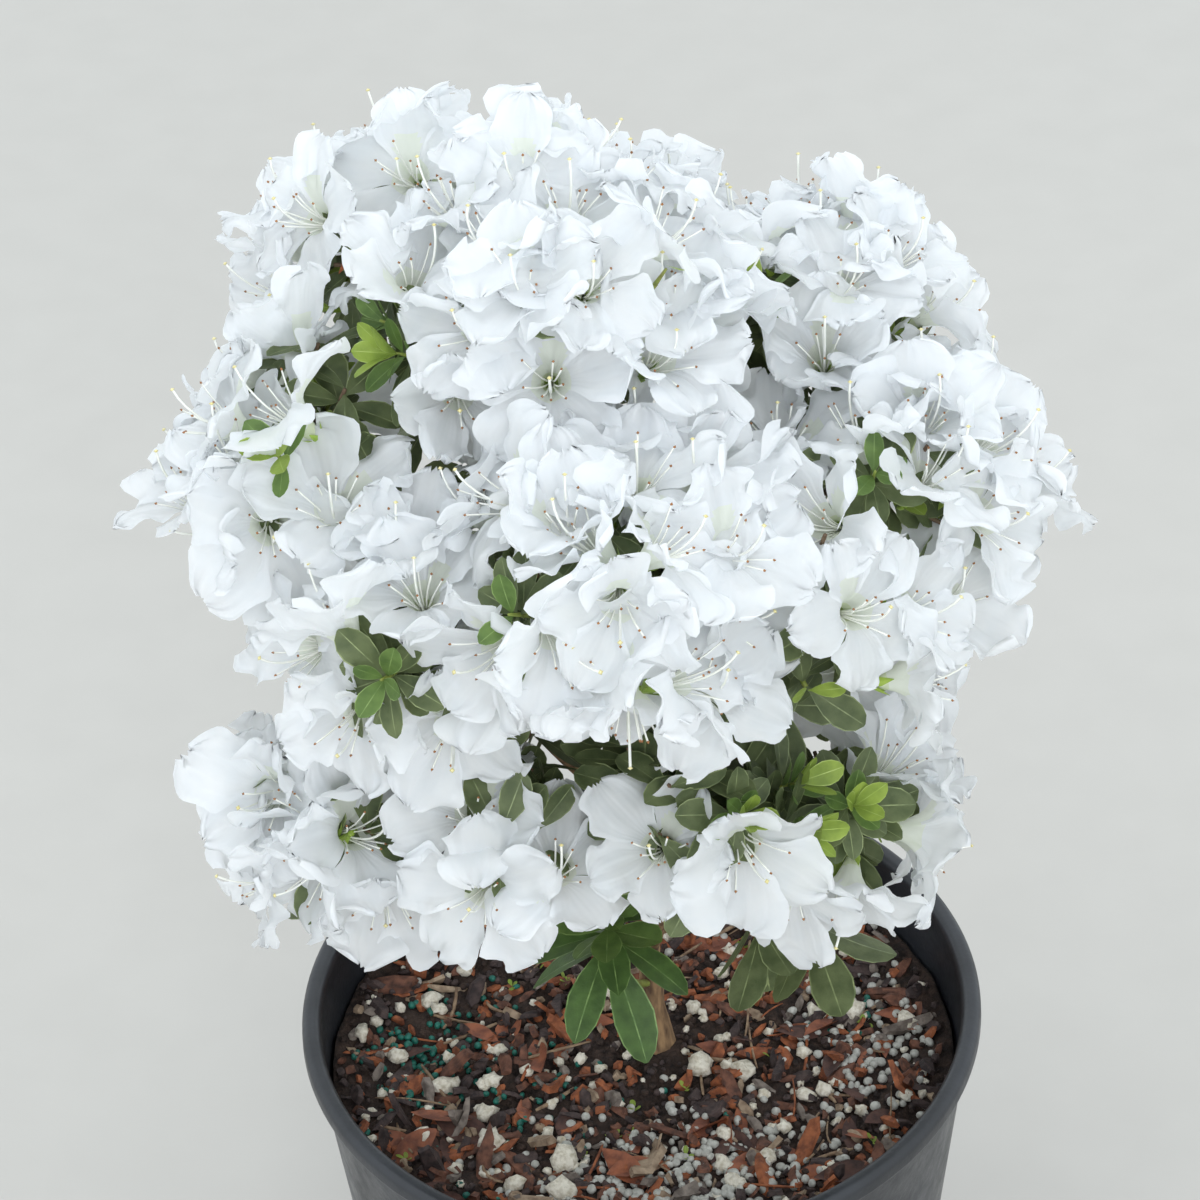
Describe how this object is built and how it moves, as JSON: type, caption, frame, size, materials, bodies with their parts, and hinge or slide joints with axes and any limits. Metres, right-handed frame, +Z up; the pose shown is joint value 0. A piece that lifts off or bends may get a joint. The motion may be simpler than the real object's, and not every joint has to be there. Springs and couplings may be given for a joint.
{
  "type": "white azalea shrub in a nursery pot",
  "caption": "Azalea shrub in full white flower, a short trunk and forking boughs under a domed crown, standing in its round black plastic nursery pot",
  "frame": {"origin": "centre of the pot's flat underside, on the surface that the pot stands on", "axes": "+Z up, +X to the plant's right as seen from the front, -Y towards the front"},
  "size_m": [0.3463, 0.3188, 0.6368],
  "materials": {
    "pot_plastic": "satin black moulded polypropylene",
    "potting_mix": "moist dark bark and humus mix",
    "bark": "rough brown bark",
    "blossom": "soft white petals",
    "leaves": "dark green leaves with a slight sheen"
  },
  "bodies": {
    "root": {"pot": "pot_plastic", "soil": "potting_mix", "trunk": "bark", "bough_upper_left": "bark", "bough_upper_right": "bark", "bough_upper_front": "bark", "bough_upper_front_left": "bark", "bough_upper_front_right": "bark", "bough_upper_back_left": "bark", "bough_upper_back_right": "bark", "bough_upper_back": "bark", "bough_lower_left": "bark", "bough_lower_front_left": "bark", "bough_lower_front": "bark", "bough_lower_front_right": "bark", "bough_lower_right": "bark", "bough_lower_back": "bark", "bough_lower_back_left": "bark", "blossom_crown_top": "blossom", "blossom_upper_left": "blossom", "blossom_upper_right": "blossom", "blossom_upper_front": "blossom", "blossom_upper_front_left": "blossom", "blossom_upper_front_right": "blossom", "blossom_upper_back_left": "blossom", "blossom_upper_back_right": "blossom", "blossom_upper_back": "blossom", "blossom_lower_left": "blossom", "blossom_lower_front_left": "blossom", "blossom_lower_front": "blossom", "blossom_lower_front_right": "blossom", "blossom_lower_right": "blossom", "blossom_lower_back": "blossom", "blossom_lower_back_left": "blossom", "leafy_shoot": "leaves"}
  },
  "joints": []
}
